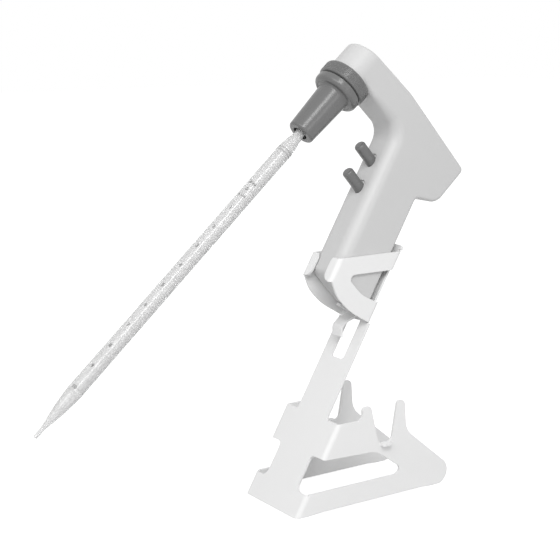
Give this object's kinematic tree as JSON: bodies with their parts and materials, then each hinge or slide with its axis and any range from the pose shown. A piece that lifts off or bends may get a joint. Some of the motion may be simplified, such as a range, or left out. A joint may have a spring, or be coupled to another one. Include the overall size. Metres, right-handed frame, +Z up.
{
  "type": "motorized pipette controller",
  "caption": "Pistol-grip motorized pipette controller with two finger buttons, a graduated pipette in its nosepiece, resting in the cradle of a leaning folded-sheet bench stand",
  "frame": {"origin": "on the bench, at the middle of the stand's front bottom edge", "axes": "+X to the stand's right side, +Y from the front edge towards the rear feet, +Z up; the pipette points towards -Y and down"},
  "size_m": [0.085, 0.3894, 0.3711],
  "materials": {
    "white_steel": "satin powder coat",
    "pale_housing": "fine satin",
    "grey_plastic": "satin",
    "clear_pipette": "clear, moulded",
    "cotton": "fibre",
    "silicone": "translucent silicone",
    "dark_rubber": "soft, plain",
    "filter": "plain",
    "black_plastic": "plain",
    "steel": "plain",
    "motor_can": "plain",
    "cell": "printed sleeve",
    "board": "solder mask",
    "lens": "clear green"
  },
  "bodies": {
    "stand": {"stand_frame": "white_steel"},
    "controller": {"housing_left": "pale_housing", "housing_right": "pale_housing", "housing_screws": "steel", "nose_socket": "grey_plastic", "aspirate_spring": "steel", "dispense_spring": "steel", "valve_block": "black_plastic", "valve_seals": "silicone", "pump_motor": "motor_can", "motor_bracket": "steel", "pump_head": "black_plastic", "pump_cap": "black_plastic", "nose_tube": "silicone", "suction_tube": "silicone", "exhaust_tube": "silicone", "battery_tray": "black_plastic", "battery_cell_1": "cell", "battery_cell_2": "cell", "circuit_board": "board", "charging_jack": "black_plastic", "base_cap": "pale_housing", "base_cap_screw": "steel", "status_lens": "lens", "wheel_axle": "steel", "wheel_potentiometer": "black_plastic"},
    "retaining_ring": {"retaining_ring": "grey_plastic"},
    "nosepiece": {"nosepiece": "grey_plastic", "nosepiece_sleeve": "grey_plastic", "pipette_adapter": "dark_rubber", "membrane_filter": "filter", "seal_ring": "silicone"},
    "pipette": {"pipette": "clear_pipette", "cotton_plug": "cotton"},
    "aspirate_button": {"aspirate_button": "grey_plastic"},
    "dispense_button": {"dispense_button": "grey_plastic"},
    "speed_wheel": {"speed_wheel": "grey_plastic"}
  },
  "joints": [
    {"name": "controller_lift", "type": "slide", "parent": "stand", "child": "controller", "axis": [0, 0.5, 0.866], "range_m": [0, 0.12]},
    {"name": "ring_turn", "type": "hinge", "parent": "controller", "child": "retaining_ring", "pos_m": [0, 0.07127, 0.3399], "axis": [0, 0.7466, 0.6652], "range_deg": [0, 60]},
    {"name": "nosepiece_pull", "type": "slide", "parent": "controller", "child": "nosepiece", "axis": [0, -0.7466, -0.6652], "range_m": [0, 0.03]},
    {"name": "pipette_pull", "type": "slide", "parent": "nosepiece", "child": "pipette", "axis": [0, -0.7466, -0.6652], "range_m": [0, 0.05]},
    {"name": "aspirate_press", "type": "slide", "parent": "controller", "child": "aspirate_button", "axis": [0, 0.6652, -0.7466], "range_m": [0, 0.004], "stiffness_N_per_m": 300, "springref_m": -0.003, "deforming": ["aspirate_spring"]},
    {"name": "dispense_press", "type": "slide", "parent": "controller", "child": "dispense_button", "axis": [0, 0.6652, -0.7466], "range_m": [0, 0.004], "stiffness_N_per_m": 300, "springref_m": -0.003, "deforming": ["dispense_spring"]},
    {"name": "speed_turn", "type": "hinge", "parent": "controller", "child": "speed_wheel", "pos_m": [0, 0.17297, 0.25988], "axis": [1, 0, 0], "range_deg": [-135, 135]}
  ]
}
